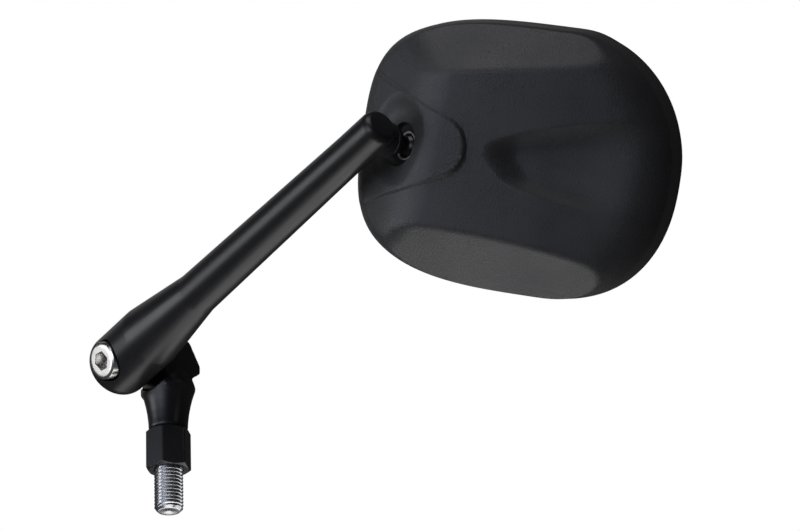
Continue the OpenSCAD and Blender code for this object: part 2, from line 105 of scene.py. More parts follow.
def thread_radius(height, angle):
    """Radius over height and angle: the major radius less a trapezoid wave of the phase
    height / pitch - angle / full turn, capped by the 45 degree chamfer at the end."""
    phase = np.mod(height / thread_pitch - angle / (2 * np.pi), 1.0)
    flank = np.clip((np.abs(phase - 0.5) - crest_half_share) / flank_share, 0, 1)
    cone = stud_radius - stud_chamfer + (height - stud_low)
    return np.minimum(stud_radius - thread_depth * flank, cone)


def stud_rings(columns=120, rows_per_turn=16):
    """Rings up the stud, radius * (cos, sin) at each height: the dimple in its end, then the
    thread, then the shank."""
    angle = np.linspace(0, 2 * np.pi, columns, endpoint=False)
    turns = (thread_top - stud_low) / thread_pitch
    thread_height = np.linspace(stud_low, thread_top, int(turns * rows_per_turn))[:, None]
    shank = [
        (stud_radius - thread_depth, thread_top + runout_height), (shank_radius, thread_top + shank_start),
        (shank_radius, stud_top - shank_chamfer), (shank_radius - shank_chamfer, stud_top)]
    end_radius, end_rise = np.array(end_dimple).T[..., None]
    plain_radius, plain_height = np.array(shank).T[..., None]
    threaded = thread_radius(thread_height, angle)
    radius = np.vstack([end_radius + 0 * angle, threaded, plain_radius + 0 * angle])
    height = np.vstack([stud_low + end_rise, thread_height, plain_height])
    return np.stack([radius * np.cos(angle), radius * np.sin(angle), height + 0 * angle], axis=-1)


stud_piece = skin("stud_piece", stud_rings(), 50)


def new_group(name, inputs, outputs):
    """Empty shader node group with float or colour sockets, and its input and output nodes."""
    group = bpy.data.node_groups.new(name, "ShaderNodeTree")
    for label, kind in inputs:
        group.interface.new_socket(label, in_out="INPUT", socket_type=kind)
    for label, kind in outputs:
        group.interface.new_socket(label, in_out="OUTPUT", socket_type=kind)
    return group, group.nodes.new("NodeGroupInput"), group.nodes.new("NodeGroupOutput")


def maths(tree, operation, *values):
    """Output of a new Math node, whose inputs are linked to the sockets or set to the numbers
    that are given."""
    node = tree.nodes.new("ShaderNodeMath")
    node.operation = operation
    for socket, value in zip(node.inputs, values):
        if isinstance(value, bpy.types.NodeSocket):
            tree.links.new(value, socket)
        else:
            socket.default_value = value
    return node.outputs[0]


FLOAT, COLOUR = "NodeSocketFloat", "NodeSocketColor"

# Grain of a surface: a fine and a cloudy noise together vary its colour and roughness, and the
# fine one alone is its height.
grain, grain_in, grain_out = new_group(
    "surface_grain",
    [("Colour", COLOUR), ("Colour spread", FLOAT), ("Roughness", FLOAT), ("Roughness spread", FLOAT),
     ("Grain per metre", FLOAT), ("Cloud per metre", FLOAT)],
    [("Colour", COLOUR), ("Roughness", FLOAT), ("Height", FLOAT)])
place = grain.nodes.new("ShaderNodeTexCoord")
fine = grain.nodes.new("ShaderNodeTexNoise")
fine.inputs["Detail"].default_value = 3.0
cloud = grain.nodes.new("ShaderNodeTexNoise")
cloud.inputs["Detail"].default_value = 2.0
for noise, label in ((fine, "Grain per metre"), (cloud, "Cloud per metre")):
    grain.links.new(place.outputs["Object"], noise.inputs["Vector"])
    grain.links.new(grain_in.outputs[label], noise.inputs["Scale"])
lean = maths(grain, "SUBTRACT", maths(grain, "ADD", fine.outputs["Fac"], cloud.outputs["Fac"]), 1.0)
rough = maths(
    grain, "MULTIPLY_ADD", lean, grain_in.outputs["Roughness spread"], grain_in.outputs["Roughness"])
tone = maths(grain, "MULTIPLY_ADD", lean, grain_in.outputs["Colour spread"], 1.0)
shade = grain.nodes.new("ShaderNodeVectorMath")
shade.operation = "SCALE"
grain.links.new(grain_in.outputs["Colour"], shade.inputs[0])
grain.links.new(tone, shade.inputs["Scale"])
grain.links.new(shade.outputs[0], grain_out.inputs["Colour"])
grain.links.new(rough, grain_out.inputs["Roughness"])
grain.links.new(fine.outputs["Fac"], grain_out.inputs["Height"])


def finish_of(name, colour, roughness, metallic=0.0, spread=0.25, rough_spread=0.2, per_metre=2500.0,
              cloud_per_metre=60.0, bump=0.02, coat=0.0, specular=0.5):
    """Material of one surface: the grain group drives colour and roughness, and its height a
    bump of the given depth in millimetres."""
    material = bpy.data.materials.new(name)
    material.use_nodes = True
    tree = material.node_tree
    shader = tree.nodes["Principled BSDF"]
    group = tree.nodes.new("ShaderNodeGroup")
    group.node_tree = grain
    group.inputs["Colour"].default_value = (*colour, 1.0)
    group.inputs["Colour spread"].default_value = spread
    group.inputs["Roughness"].default_value = roughness
    group.inputs["Roughness spread"].default_value = rough_spread
    group.inputs["Grain per metre"].default_value = per_metre
    group.inputs["Cloud per metre"].default_value = cloud_per_metre
    tree.links.new(group.outputs["Colour"], shader.inputs["Base Color"])
    tree.links.new(group.outputs["Roughness"], shader.inputs["Roughness"])
    bumps = tree.nodes.new("ShaderNodeBump")
    bumps.inputs["Distance"].default_value = bump * MM
    tree.links.new(group.outputs["Height"], bumps.inputs["Height"])
    tree.links.new(bumps.outputs["Normal"], shader.inputs["Normal"])
    shader.inputs["Metallic"].default_value = metallic
    shader.inputs["Coat Weight"].default_value = coat
    shader.inputs["Specular IOR Level"].default_value = specular
    return material


zinc = finish_of("zinc_plate", (0.62, 0.63, 0.65), 0.24, metallic=1.0, spread=0.15, rough_spread=0.15,
                 per_metre=3500, cloud_per_metre=300, bump=0.006)
stud_piece.data.materials.append(zinc)
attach(stud_piece, "base")
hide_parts("threaded_stud")


# Lock nut. Long hexagon nut of black plated steel, turned with a 30 degree chamfer at both
# ends, so that each flat ends in an arc.
nut_flats = 14.0
nut_height = 14.4
nut_turn = np.radians(7)
nut_corner_round = 0.12
nut_chamfer_width = 1.35
nut_chamfer_height = 1.6
nut_bore = 4.75
nut_bore_chamfer = 0.5


def soft_min(one, other, width):
    """Lower of two heights, blended over a width by a parabola."""
    nearness = np.maximum(0, width - np.abs(one - other)) / width
    return np.minimum(one, other) - nearness * nearness * width / 4


def nut_rings(columns=360, chamfer_rows=15):
    """Rings from the bore's lower edge over the outside to its upper edge. The hexagon's radius
    at each angle, rounded at its corners by a soft minimum with a circle, is capped by the two
    chamfer cones."""
    angle = np.linspace(0, 2 * np.pi, columns, endpoint=False)
    spoke = np.stack([np.cos(angle), np.sin(angle), 0 * angle], axis=-1)
    corner = nut_flats / 2 / np.cos(np.pi / 6)
    from_flat = np.mod(angle - nut_turn, np.pi / 3) - np.pi / 6
    hexagon = soft_min(nut_flats / 2 / np.cos(from_flat), corner - nut_corner_round, nut_corner_round)
    low_rows = np.linspace(0, nut_chamfer_height, chamfer_rows)
    rise = np.concatenate([low_rows, [nut_height / 2], nut_height - low_rows[::-1]])
    cone = corner - nut_chamfer_width + np.minimum(rise, nut_height - rise) / np.tan(np.pi / 6)
    wall = np.minimum(hexagon[None, :], cone[:, None])
    lead = np.array([nut_bore, nut_bore + nut_bore_chamfer])[:, None] + 0 * angle
    lead_rise = np.array([nut_bore_chamfer, 0.0])
    radius = np.vstack([lead, wall, lead[::-1]])
    height = np.concatenate([lead_rise, rise, nut_height - lead_rise[::-1]])
    return radius[..., None] * spoke + height[:, None, None] * np.array([0.0, 0.0, 1.0])


nut_piece = skin("nut_piece", nut_rings(), 25, bored=True)
black_plate = finish_of("black_plate", (0.014, 0.014, 0.018), 0.33, spread=0.2, rough_spread=0.12,
                        per_metre=1800, cloud_per_metre=120, bump=0.006, coat=0.2)
nut_piece.data.materials.append(black_plate)
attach(nut_piece, "nut")
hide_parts("lock_nut")


# Bracket. One aluminium casting with a satin black coat: a tapered stem over the nut, a block
# behind the pivot and a round seat for the arm, run together by the casting's soft corners.
casting_grid = 0.3
casting_softness = 14
same_corner = 0.002


def merge_corners(mesh):
    """Merges a mesh's doubled corners, and with them its faces without area."""
    shape = bmesh.new()
    shape.from_mesh(mesh)
    bmesh.ops.remove_doubles(shape, verts=shape.verts, dist=same_corner * MM)
    shape.to_mesh(mesh)
    shape.free()


def solid_copy(node, name):
    """New piece with a node's own mesh, its loose triangles merged."""
    mesh = frame["nodes"][node].data.copy()
    mesh.name = name
    merge_corners(mesh)
    mesh.materials.clear()
    piece = bpy.data.objects.new(name, mesh)
    bpy.context.scene.collection.objects.link(piece)
    return piece


def settle(piece):
    """Works the piece's modifiers into its mesh."""
    graph = bpy.context.evaluated_depsgraph_get()
    mesh = bpy.data.meshes.new_from_object(piece.evaluated_get(graph))
    piece.modifiers.clear()
    old = piece.data
    piece.data = mesh
    bpy.data.meshes.remove(old)
    mesh.name = piece.name


bracket_piece = solid_copy("base_bracket", "bracket_piece")
cast = bracket_piece.modifiers.new("cast", "REMESH")
cast.mode = "VOXEL"
cast.voxel_size = casting_grid * MM
soft_corners = bracket_piece.modifiers.new("soft_corners", "SMOOTH")
soft_corners.factor = 0.5
soft_corners.iterations = casting_softness
settle(bracket_piece)
bracket_piece.data.shade_smooth()
black_coat = finish_of("black_coat", (0.012, 0.012, 0.0135), 0.33, spread=0.2, rough_spread=0.10,
                       per_metre=2200, cloud_per_metre=90, bump=0.010, specular=0.46)
bracket_piece.data.materials.append(black_coat)
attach(bracket_piece, "base")
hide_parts("base_bracket")


# Pivot screw and its washers. Socket head screw turned from stainless steel, sunk into the
# arm's eye, on a spring washer and a plain washer; a thin washer parts the arm from its seat.
screw_radius = 4.0
screw_chamfer = 1.0
screw_end = 30.0
head_radius = 6.5
head_height = 8.0
head_underside_round = 0.2
head_face = 12.0
# The head's face and its rounded edge, as (radius, depth below the face).
head_profile = [
    (3.8, 0.0), (4.6, 0.0), (5.3, 0.0), (5.4, 0.03), (6.1, 0.18), (6.35, 0.35), (head_radius, 0.7)]
socket_flats = 6.0
socket_depth = 4.2
socket_point = 0.9
socket_edge_share, socket_edge_depth = 1.03, 0.12


def joint_line(name):
    """Point and unit direction of a joint's axis, the point in millimetres."""
    joint = next(j for j in frame["joints"] if j["name"] == name)
    axis = np.array(joint["axis"], float)
    return np.array(joint["pos_m"], float) / MM, axis / np.linalg.norm(axis)


def cross_axes(along):
    """Two unit vectors square to a direction and to each other."""
    helper = np.array([0.0, 0.0, 1.0]) if abs(along[2]) < 0.9 else np.array([1.0, 0.0, 0.0])
    side = np.cross(helper, along)
    side /= np.linalg.norm(side)
    return side, np.cross(along, side)


pivot, screw_out = joint_line("arm_swing")


def screw_rings(columns=240):
    """Rings from the socket's floor up its six flats, over the head and down the shank. In the
    socket the radius is a share of the hexagon's, and elsewhere it is one number a ring."""
    side, up = cross_axes(screw_out)
    angle = np.linspace(0, 2 * np.pi, columns, endpoint=False)
    hexagon = socket_flats / 2 / np.cos(np.mod(angle, np.pi / 3) - np.pi / 6)
    spoke = np.cos(angle)[:, None] * side + np.sin(angle)[:, None] * up
    socket = [(0.02, socket_depth + socket_point), (1.0, socket_depth), (1.0, socket_edge_depth),
              (socket_edge_share, 0.0)]
    outside = head_profile + [
        (head_radius, head_height - head_underside_round), (head_radius - head_underside_round, head_height),
        (screw_radius, head_height), (screw_radius, screw_end - screw_chamfer),
        (screw_radius - screw_chamfer, screw_end)]
    share, socket_rows = np.array(socket).T
    size, outside_rows = np.array(outside).T
    radius = np.vstack([share[:, None] * hexagon, size[:, None] + 0 * angle])
    depth = np.concatenate([socket_rows, outside_rows])
    return pivot + (head_face - depth)[:, None, None] * screw_out + radius[..., None] * spoke


screw_piece = skin("screw_piece", screw_rings(), 25)
stainless = finish_of("turned_stainless", (0.68, 0.67, 0.65), 0.22, metallic=1.0, spread=0.12,
                      rough_spread=0.12, per_metre=2600, cloud_per_metre=500, bump=0.004)
screw_piece.data.materials.append(stainless)
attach(screw_piece, "base")
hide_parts("pivot_screw")


def dress(node, material):
    """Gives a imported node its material."""
    piece = frame["nodes"][node]
    piece.data.materials.clear()
    piece.data.materials.append(material)


for node in ("friction_washer", "spring_washer", "plain_washer", "stud_washer"):
    dress(node, zinc)


# Arm. Turned from one aluminium bar with a satin black coat: a domed eye with a counterbore
# for the screw's head, a cone, a slowly tapering tube, and a cross boss for the ball stud.
ball_reach = 17.5
eye_radius = 11.2
eye_over = 0.6
dome_radius = 7.0
cone_start, cone_end = 15.0, 44.0
tube_low_radius, tube_top_radius = 7.6, 6.17
taper_stop = 10.0
bend_round = 0.6
arm_over = 6.75
end_round, end_reach = 2.2, 3.2
seat_depth = 8.0
counterbore_radius = 7.25
counterbore_floor = 0.4
pivot_bore_radius = screw_radius + 0.05
boss_radius = 5.95
boss_height, boss_root = 7.6, 1.0
boss_round = 0.7
neck_hole_radius = 3.0
neck_hole_depth = 12.0

ball, neck_out = joint_line("head_spin")
stud_foot = ball + ball_reach * neck_out
arm_len = np.linalg.norm(stud_foot - pivot)
arm_along = (stud_foot - pivot) / arm_len


def turned(profile, origin, along, columns=96):
    """Rings of a turned part: each (radius, distance) of the profile is carried round the axis,
    origin + distance * along + radius * (cos, sin) over the two cross axes."""
    side, up = cross_axes(along)
    angle = np.linspace(0, 2 * np.pi, columns, endpoint=False)
    spoke = np.cos(angle)[:, None] * side + np.sin(angle)[:, None] * up
    radius, distance = np.asarray(profile, float).T
    return origin + distance[:, None, None] * along + radius[:, None, None] * spoke


def rounded(profile, radius, steps=4):
    """Profile with each inner corner replaced by an arc-like curve: a quadratic through two
    points set back from the corner by the radius or by 40 % of the shorter side."""
    profile = np.asarray(profile, float)
    pieces = [profile[:1]]
    share = np.linspace(0, 1, steps + 1)[:, None]
    for before, corner, after in zip(profile[:-2], profile[1:-1], profile[2:]):
        back, ahead = before - corner, after - corner
        reach = min(radius, 0.4 * np.linalg.norm(back), 0.4 * np.linalg.norm(ahead))
        start = corner + back / np.linalg.norm(back) * reach
        end = corner + ahead / np.linalg.norm(ahead) * reach
        pieces.append((1 - share) ** 2 * start + 2 * share * (1 - share) * corner + share ** 2 * end)
    pieces.append(profile[-1:])
    return np.vstack(pieces)


def plug(radius, start, end, core=0.5):
    """Profile of a cylinder between two distances along its axis, its end faces drawn from a
    small core outwards."""
    return [(core, start), (radius, start), (radius, end), (core, end)]


def join(piece, tool, kind):
    """Works a second closed piece into the first, by the kind of boolean, and uses it up."""
    knife = piece.modifiers.new("knife", "BOOLEAN")
    knife.operation = kind
    knife.solver = "EXACT"
    knife.object = tool
    settle(piece)
    bpy.data.objects.remove(tool)


quarter = np.linspace(0, np.pi / 2, 17)
dome = np.stack([eye_radius - dome_radius * (1 - np.sin(quarter)),
                 -(eye_radius + eye_over) + dome_radius * (1 - np.cos(quarter))], axis=-1)
nose = np.stack([tube_top_radius - end_round * (1 - np.cos(quarter)),
                 arm_len + arm_over - end_reach * (1 - np.sin(quarter))], axis=-1)
middle = rounded([dome[-1], (eye_radius, cone_start), (tube_low_radius, cone_end),
                  (tube_top_radius, arm_len - taper_stop), nose[0]], bend_round)
arm_piece = skin("arm_piece", turned(np.vstack([dome, middle[1:-1], nose]), pivot, arm_along, 192), 30)

boss = rounded(plug(boss_radius, -boss_root, boss_height), boss_round)
join(arm_piece, skin("boss_tool", turned(boss, stud_foot, -neck_out, 128)), "UNION")
# The outer end of each cutting tool lies clear of the arm.
for name, radius, start, end, origin, along, columns in (
        ("seat_tool", eye_radius + 1.5, -22.0, -seat_depth, pivot, screw_out, 128),
        ("bore_tool", pivot_bore_radius, -20.0, 5.0, pivot, screw_out, 96),
        ("pocket_tool", counterbore_radius, counterbore_floor, 20.0, pivot, screw_out, 128),
        ("neck_tool", neck_hole_radius, -3.0, neck_hole_depth, stud_foot, -neck_out, 96)):
    join(arm_piece, skin(name, turned(plug(radius, start, end), origin, along, columns)), "DIFFERENCE")
merge_corners(arm_piece.data)
arm_piece.data.shade_smooth()
arm_piece.data.set_sharp_from_angle(angle=np.radians(30))
arm_piece.data.materials.clear()
arm_piece.data.materials.append(black_coat)
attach(arm_piece, "arm")
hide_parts("arm")


# Ball stud. Steel ball, neck and collar turned in one piece and blackened, screwed into the
# arm's cross boss up to its collar.
ball_radius = 5.0
neck_radius = 3.0
neck_start = 4.0
collar_radius = 4.5
collar_start, collar_end = 7.2, 9.2
collar_round = 0.25
neck_end = 19.0

cap = np.linspace(0.02, np.pi - np.arcsin(neck_radius / ball_radius), 48)
collar = [(neck_radius, neck_start), (neck_radius, collar_start), (collar_radius, collar_start),
          (collar_radius, collar_end), (neck_radius, collar_end)]
stud_profile = np.vstack([
    np.stack([ball_radius * np.sin(cap), -ball_radius * np.cos(cap)], axis=-1),
    rounded(collar, collar_round)[1:],
    [(neck_radius, neck_end), (0.3, neck_end)],
])
ball_piece = skin("ball_piece", turned(stud_profile, ball, neck_out, 128), 30)
black_oxide = finish_of("black_oxide", (0.05, 0.05, 0.055), 0.28, metallic=0.9, spread=0.3, rough_spread=0.15,
                        per_metre=2600, cloud_per_metre=300, bump=0.006)
ball_piece.data.materials.append(black_oxide)
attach(ball_piece, "arm")
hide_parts("ball_stud")


# Ball seat. Natural nylon liner between a front ring and a sprung rear cup of black nylon, in
# a die-cast socket; a steel plate on three small screws presses it together.
natural_nylon = finish_of("natural_nylon", (0.78, 0.75, 0.66), 0.30, spread=0.06, rough_spread=0.1,
                          per_metre=900, cloud_per_metre=200, bump=0.01)
black_nylon = finish_of("black_nylon", (0.02, 0.02, 0.021), 0.35, spread=0.2, rough_spread=0.15,
                        per_metre=1500, cloud_per_metre=200, bump=0.01)
die_cast = finish_of("die_cast", (0.10, 0.10, 0.11), 0.45, metallic=0.8, spread=0.3, rough_spread=0.2,
                     per_metre=900, cloud_per_metre=150, bump=0.02)
spring_steel = finish_of("spring_steel", (0.35, 0.35, 0.36), 0.30, metallic=1.0, spread=0.15,
                         per_metre=3000, cloud_per_metre=400, bump=0.004)
plain_brass = finish_of("plain_brass", (0.72, 0.55, 0.25), 0.28, metallic=1.0, spread=0.15,
                        per_metre=2500, cloud_per_metre=300, bump=0.004)
for node, material in (
        ("ball_liner", natural_nylon), ("seat_ring", black_nylon), ("rear_cup", black_nylon),
        ("socket_body", die_cast), ("disc_springs", spring_steel), ("clamp_plate", zinc),
        ("clamp_screws", zinc), ("boss_inserts", plain_brass)):
    dress(node, material)


# Housing. One moulding of fine grained black plastic: steep walls, two long side facets, a
# raised V-shaped pad round the ball stud's opening and a hollow that widens to the far end.
housing_turns = np.radians([123.0, 22.0, 45.0])
ball_height = 22.5
shell_depth = 33.5
shell_wall = 2.4
outer_draft, inner_draft = 0.028, 0.005
inset_run = 4.0

outline_left, outline_right, outline_top, outline_bottom = 64.5, 40.15, 43.15, 44.8
outline_middle = 43.4
outline_lean, outline_slope = 0.032, -0.033
corner_power = (3.36, 2.01, 3.16, 2.34)
corner_change = 0.35

long_fall, long_fall_span = 10.0, (8.0, 118.0)
late_fall, late_fall_span = 2.0, (40.0, 90.0)
wall_low, wall_gain, wall_gain_span = 6.0, 8.0, (-10.0, 80.0)
crown_power, crown_power_loss, crown_power_span = 15.0, 7.0, (50.0, 82.0)
crown_curve = 0.8
upper_facet_edge, upper_facet_spread = 24.2, 0.127
lower_facet_edge, lower_facet_spread, lower_facet_bend, lower_facet_start = 24.0, 0.02, 0.0018, 5.0
facet_fall, facet_blend = 0.8, 1.0
slope_lift, slope_twist, slope_blend = 0.9, 0.5, 7.0

pad_spread, pad_radius, pad_x, pad_y = 0.41, 10.3, 9.3, 1.6
pad_rise = 1.2
pad_edge_span = (-0.1, 0.9)
pad_rim_span = (1.0, 0.93)

scoop_depth = 3.8
scoop_start, scoop_start_shift, scoop_shift_span = 24.5, 3.5, (1.0, -6.0)
scoop_rise_run = 11.0
scoop_fade_span = (46.0, 90.0)
scoop_half_start, scoop_spread_run = 2.5, 47.0
upper_scoop_start, upper_scoop_gain, upper_scoop_power = 25.0, 13.5, 0.55
lower_scoop_start, lower_scoop_gain, lower_scoop_power = 27.0, 14.1, 0.5
scoop_side_power, scoop_side_curve = 3, 0.9
past_rim = 1.0001

seat_top = 3.3
lip_top = seat_top + 0.7
face_top = lip_top + 1.5
dish_flat_radius, dish_bend, dish_blend = 7.6, 0.07, 2.4
opening_radius = 7.15
opening_round = 0.35
recess_radius = 10.35
recess_flare, recess_drop = 0.8, 1.5


def about(axis, angle):
    """Rotation matrix about coordinate axis 0, 1 or 2."""
    cosine, sine = np.cos(angle), np.sin(angle)
    low, high = [(1, 2), (2, 0), (0, 1)][axis]
    turn = np.eye(3)
    turn[low, low] = turn[high, high] = cosine
    turn[low, high], turn[high, low] = -sine, sine
    return turn


stud_frame = np.stack([arm_along, -neck_out, np.cross(arm_along, -neck_out)], axis=1)
head_frame = stud_frame @ about(2, housing_turns[2]) @ about(1, housing_turns[1]) @ about(0, housing_turns[0])
head_origin = ball - ball_height * head_frame[:, 2]
socket_axis = head_frame.T @ neck_out


def in_head(points):
    """Points of the housing's own frame, whose rim plane is z = 0, in the part's frame."""
    return head_origin + points @ head_frame.T


def ease(start, end, value):
    """Smooth step from 0 at start to 1 at end: 3 t^2 - 2 t^3 of the clipped share t."""
    t = np.clip((value - start) / (end - start), 0, 1)
    return t * t * (3 - 2 * t)


def rim_distance(angle):
    """Distance from the outline's middle to the rim before it is skewed: a superellipse whose
    half axes differ to each side and whose power changes by eased steps between its corners."""
    cosine, sine = np.cos(angle), np.sin(angle)
    near, upper = ease(-corner_change, corner_change, -cosine), ease(-corner_change, corner_change, sine)
    top = near * corner_power[0] + (1 - near) * corner_power[1]
    low = near * corner_power[2] + (1 - near) * corner_power[3]
    power = upper * top + (1 - upper) * low
    side = np.where(cosine < 0, outline_left, outline_right)
    half = np.where(sine > 0, outline_top, outline_bottom)
    return ((np.abs(cosine) / side) ** power + (np.abs(sine) / half) ** power) ** (-1 / power)


def rim_points(angle):
    """Rim in plan: the unskewed point (u, v) leans by a share of v and slopes by a share of u."""
    u, v = rim_distance(angle) * np.cos(angle), rim_distance(angle) * np.sin(angle)
    even = 1 - outline_lean * outline_slope
    return np.stack([outline_middle + (u + outline_lean * v) / even, (outline_slope * u + v) / even], axis=-1)


def rim_normal(angle):
    """Unit normal of the rim in plan, pointing outwards, from a step of one degree along it."""
    along = rim_points(angle + np.radians(0.5)) - rim_points(angle - np.radians(0.5))
    along /= np.linalg.norm(along, axis=-1)[..., None]
    return np.stack([along[..., 1], -along[..., 0]], axis=-1)


def share_and_angle(x, y):
    """Share of the way from the outline's middle to the rim, and the unskewed direction."""
    u = x - outline_middle - outline_lean * y
    v = y - outline_slope * (x - outline_middle)
    angle = np.arctan2(v, u)
    return np.hypot(u, v) / rim_distance(angle), angle


def crest(x):
    """Height of the crest line: the depth, less two eased falls towards the far end."""
    return shell_depth - long_fall * ease(*long_fall_span, x) - late_fall * ease(*late_fall_span, x)


def wall_top(x):
    """Height of the steep side wall, growing from the ball's end to the far end."""
    return wall_low + wall_gain * ease(*wall_gain_span, x)


def facet_edge(x, y):
    """Distance of a side facet's edge from the middle line: straight above, a parabola below."""
    beyond = x - lower_facet_start
    upper = upper_facet_edge + upper_facet_spread * x
    lower = lower_facet_edge + lower_facet_spread * beyond + lower_facet_bend * beyond ** 2
    return np.where(y > 0, upper, lower)


def pad_inside(x, y):
    """Distance inside the pad's edge: straight sides that spread towards the ball's end and
    touch a round nose beyond the ball."""
    aside = np.abs(y - pad_y)
    straight = pad_radius + (pad_spread * (pad_x - x) - aside) / np.hypot(1, pad_spread)
    nose = pad_radius - np.hypot(x - pad_x, aside)
    return np.where(x - pad_x < pad_spread * aside, straight, nose)


def scoop(x, y):
    """Depth of the hollow: it rises behind a slanting start and fades to the far end, and over
    its half width, which grows by a root of the distance, it is one less a cube."""
    upper_run = np.maximum(0, x - upper_scoop_start) / scoop_spread_run
    lower_run = np.maximum(0, x - lower_scoop_start) / scoop_spread_run
    upper = scoop_half_start + upper_scoop_gain * upper_run ** upper_scoop_power
    lower = scoop_half_start + lower_scoop_gain * lower_run ** lower_scoop_power
    start = scoop_start + scoop_start_shift * ease(*scoop_shift_span, y)
    depth = scoop_depth * ease(0, scoop_rise_run, x - start) * (1 - ease(*scoop_fade_span, x))
    side = np.abs(y / np.where(y > 0, upper, lower))
    return depth * np.maximum(0, 1 - side ** scoop_side_power) ** scoop_side_curve


def shell_height(x, y, share, draft):
    """Height over the rim plane: wall plus a flat dome, cut by the side facets and by the slope
    of the ball's end, less the hollow, plus the pad, cut by the dish round the opening."""
    wall_part = wall_top(x) * ease(1, 1 - draft, share)
    power = crown_power - crown_power_loss * ease(*crown_power_span, x)
    body = wall_part + (crest(x) - wall_top(x)) * np.maximum(0, 1 - share ** power) ** crown_curve
    facet = crest(x) - facet_fall * (np.abs(y) - facet_edge(x, y))
    fall = socket_axis[0] * x + slope_twist * socket_axis[1] * y
    slope = ball_height + (face_top + slope_lift - fall) / socket_axis[2]
    formed = soft_min(soft_min(body, facet, facet_blend), slope, slope_blend)
    pad = pad_rise * ease(*pad_edge_span, pad_inside(x, y)) * ease(*pad_rim_span, share)
    level = ball_height + (face_top - socket_axis[0] * x - socket_axis[1] * y) / socket_axis[2]
    off = np.hypot((x - socket_axis[0] * face_top) / socket_axis[2], y - socket_axis[1] * face_top)
    dish = level + dish_bend * np.maximum(0, off - dish_flat_radius) ** 2
    return soft_min(formed - scoop(x, y) + pad, dish, dish_blend) * ease(past_rim, 1 - draft / 2, share)


def housing_rings(columns=420):
    """Rings from the opening to the rim over the outside, then back over the inside: each
    column is a straight line in plan from the opening's edge to one point of the rim."""
    angle = np.linspace(0, 2 * np.pi, columns, endpoint=False)
    rim = rim_points(angle)
    centre = np.array([0, 0, ball_height]) + socket_axis * face_top
    side, up = cross_axes(socket_axis)
    aim = rim - centre[:2]
    mix = np.linalg.solve(np.stack([side[:2], up[:2]], axis=1), aim.T).T
    mix /= np.linalg.norm(mix, axis=1)[:, None]
    spoke = mix[:, :1] * side + mix[:, 1:] * up

    def circle(radius, depth):
        """Ring round the socket's axis at a distance from the ball."""
        return np.array([0, 0, ball_height]) + socket_axis * depth + radius * spoke

    def across(steps, inset, draft, first):
        """Rings over the shell at shares of the way from a first ring to the rim, set in from
        the outer surface."""
        plan = first[None, :, :2] + (rim - first[:, :2])[None] * steps[:, None, None]
        share, turn = share_and_angle(plan[..., 0], plan[..., 1])
        z = shell_height(plan[..., 0], plan[..., 1], share, draft)[..., None]
        plan = plan - inset * share[..., None] * rim_normal(turn)
        return np.concatenate([plan, z - inset * np.minimum(1, z / inset_run)], axis=-1)

    edge = circle(opening_radius + opening_round, face_top)
    recess = circle(recess_radius + recess_flare, lip_top - recess_drop)
    outward = np.concatenate([np.linspace(0, 0.93, 130), np.linspace(0.93, 1, 46)[1:]])
    inward = np.concatenate([np.linspace(1, 0.94, 12), np.linspace(0.94, 0, 26)[1:]])
    outside = across(outward, 0.0, outer_draft, edge)
    inside = across(inward, shell_wall, inner_draft, recess)
    opening = np.stack([circle(recess_radius, lip_top), circle(opening_radius, lip_top),
                        circle(opening_radius, face_top - opening_round),
                        circle(opening_radius + 0.1, face_top - 0.1)])
    return in_head(np.concatenate([opening, outside, inside]))


housing_piece = skin("housing_piece", housing_rings(), 40, bored=True)
moulded_black = finish_of("moulded_black", (0.038, 0.038, 0.040), 0.44, spread=0.9, rough_spread=0.4,
                          per_metre=2000, cloud_per_metre=40, bump=0.17)
housing_piece.data.materials.append(moulded_black)
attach(housing_piece, "head")
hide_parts("housing")


# Mirror glass and what holds it. Convex glass, silvered behind, on a foam pad and a moulded
# carrier plate with four screws, with a soft edging between the glass and the housing.
silvered = finish_of("silvered_glass", (0.80, 0.83, 0.85), 0.0, metallic=1.0, spread=0.02, rough_spread=0.0,
                     per_metre=40, cloud_per_metre=10, bump=0.0)
edging = finish_of("soft_edging", (0.015, 0.015, 0.015), 0.6, spread=0.2, per_metre=1500, bump=0.02)
foam = finish_of("foam", (0.06, 0.06, 0.06), 0.9, spread=0.3, per_metre=1200, bump=0.1)
carrier_black = finish_of("carrier_black", (0.03, 0.03, 0.03), 0.5, spread=0.2, per_metre=1500, bump=0.02)
for node, material in (
        ("mirror_glass", silvered), ("glass_gasket", edging), ("foam_pad", foam),
        ("glass_carrier", carrier_black), ("carrier_screws", zinc)):
    dress(node, material)


# Camera. The mirror is seen from below and from its outer side, with the stud pointing down.
# Its place is an azimuth, an elevation and a distance from a target, and it rolls a little.
camera_azimuth, camera_elevation, camera_roll = np.radians([48.0, -24.943, -2.402])
camera_distance = 1093.66
camera_target = np.array([76.23, 42.35, 60.87])

to_camera = np.array([
    np.sin(camera_azimuth) * np.cos(camera_elevation),
    -np.cos(camera_azimuth) * np.cos(camera_elevation),
    np.sin(camera_elevation),
])
level_right = np.array([np.cos(camera_azimuth), np.sin(camera_azimuth), 0.0])
level_up = np.cross(to_camera, level_right)
camera_right = np.cos(camera_roll) * level_right + np.sin(camera_roll) * level_up
camera_up = np.cross(to_camera, camera_right)

camera_data = bpy.data.cameras.new("camera")
camera_data.sensor_width = 36.0
camera_data.lens = 143.04
camera_data.clip_end = 50.0
camera = bpy.data.objects.new("camera", camera_data)
bpy.context.scene.collection.objects.link(camera)
camera_turn = Matrix([camera_right, camera_up, to_camera]).transposed().to_4x4()
camera_place = (camera_target + camera_distance * to_camera) * MM
camera.matrix_world = Matrix.Translation(Vector(camera_place)) @ camera_turn
bpy.context.scene.camera = camera
bpy.context.scene.view_settings.view_transform = "Standard"


